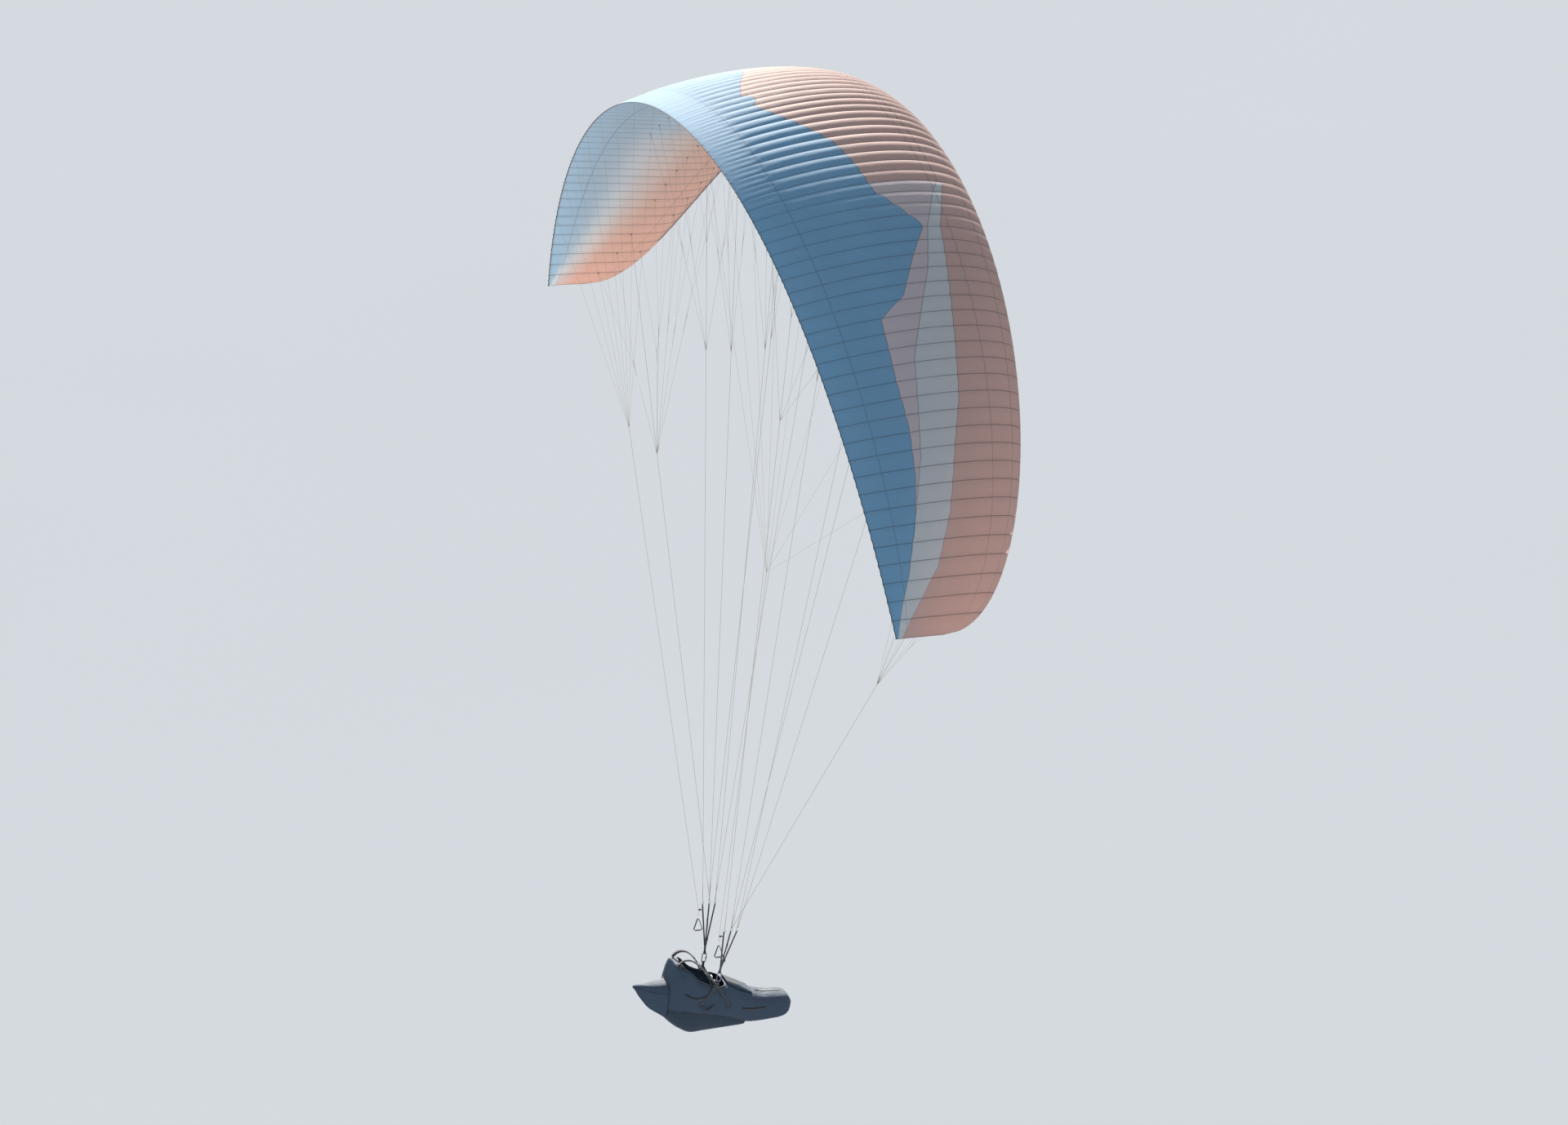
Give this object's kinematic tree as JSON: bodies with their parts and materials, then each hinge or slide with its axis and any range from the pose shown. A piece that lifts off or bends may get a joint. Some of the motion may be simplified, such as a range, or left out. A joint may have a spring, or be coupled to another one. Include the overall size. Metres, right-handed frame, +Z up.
{
  "type": "paraglider",
  "caption": "Arched ram-air canopy on main lines and two risers with brakes, carrying a reclined pod harness.",
  "frame": {"origin": "mid span, on the root chord line, 30% of the chord behind the leading edge", "axes": "+X forward in flight, +Y to the left wing tip, +Z up"},
  "size_m": [2.3831, 10.292, 9.3854],
  "materials": {
    "canopy_cloth": "satin",
    "riser_webbing": "matte",
    "maillon_steel": "polished",
    "pulley_plastic": "satin",
    "line_sheath": "matte",
    "brake_line_sheath": "matte",
    "handle_webbing": "matte",
    "pod_cloth": "matte",
    "protector_cloth": "matte",
    "board_composite": "satin",
    "padding_cloth": "matte",
    "deck_cloth": "matte",
    "harness_webbing": "matte",
    "buckle_steel": "satin",
    "karabiner_alloy": "satin"
  },
  "bodies": {
    "wing": {"canopy_left_1": "canopy_cloth", "canopy_left_2": "canopy_cloth", "canopy_left_3": "canopy_cloth", "canopy_left_4": "canopy_cloth", "canopy_left_5": "canopy_cloth", "canopy_right_1": "canopy_cloth", "canopy_right_2": "canopy_cloth", "canopy_right_3": "canopy_cloth", "canopy_right_4": "canopy_cloth", "canopy_right_5": "canopy_cloth", "riser_left": "riser_webbing", "maillon_left_a": "maillon_steel", "maillon_left_b": "maillon_steel", "maillon_left_c": "maillon_steel", "pulley_left": "pulley_plastic", "line_left_a1": "line_sheath", "line_left_a2": "line_sheath", "line_left_b1": "line_sheath", "line_left_b2": "line_sheath", "line_left_tip": "line_sheath", "line_left_c1": "line_sheath", "brake_line_left": "brake_line_sheath", "riser_right": "riser_webbing", "maillon_right_a": "maillon_steel", "maillon_right_b": "maillon_steel", "maillon_right_c": "maillon_steel", "pulley_right": "pulley_plastic", "line_right_a1": "line_sheath", "line_right_a2": "line_sheath", "line_right_b1": "line_sheath", "line_right_b2": "line_sheath", "line_right_tip": "line_sheath", "line_right_c1": "line_sheath", "brake_line_right": "brake_line_sheath"},
    "harness": {"pod_shell": "pod_cloth", "pod_nose": "pod_cloth", "rear_fairing": "pod_cloth", "seat_protector": "protector_cloth", "seat_board": "board_composite", "back_rest": "padding_cloth", "foot_plate": "board_composite", "cockpit_deck": "deck_cloth", "chest_strap": "harness_webbing", "chest_buckle": "buckle_steel", "karabiner_left": "karabiner_alloy", "hang_strap_left": "harness_webbing", "shoulder_strap_left": "harness_webbing", "karabiner_right": "karabiner_alloy", "hang_strap_right": "harness_webbing", "shoulder_strap_right": "harness_webbing"},
    "brake_left": {"brake_lead_left": "brake_line_sheath", "brake_handle_left": "handle_webbing"},
    "brake_right": {"brake_lead_right": "brake_line_sheath", "brake_handle_right": "handle_webbing"}
  },
  "joints": [
    {"name": "harness_pitch", "type": "hinge", "parent": "wing", "child": "harness", "pos_m": [-0.95, 0, -8.46], "axis": [0, 1, 0], "range_deg": [-25, 20]},
    {"name": "brake_left_pull", "type": "slide", "parent": "wing", "child": "brake_left", "axis": [0, 0, -1], "range_m": [0, 0.6], "stiffness_N_per_m": 40, "springref_m": -0.05},
    {"name": "brake_right_pull", "type": "slide", "parent": "wing", "child": "brake_right", "axis": [0, 0, -1], "range_m": [0, 0.6], "stiffness_N_per_m": 40, "springref_m": -0.05}
  ]
}
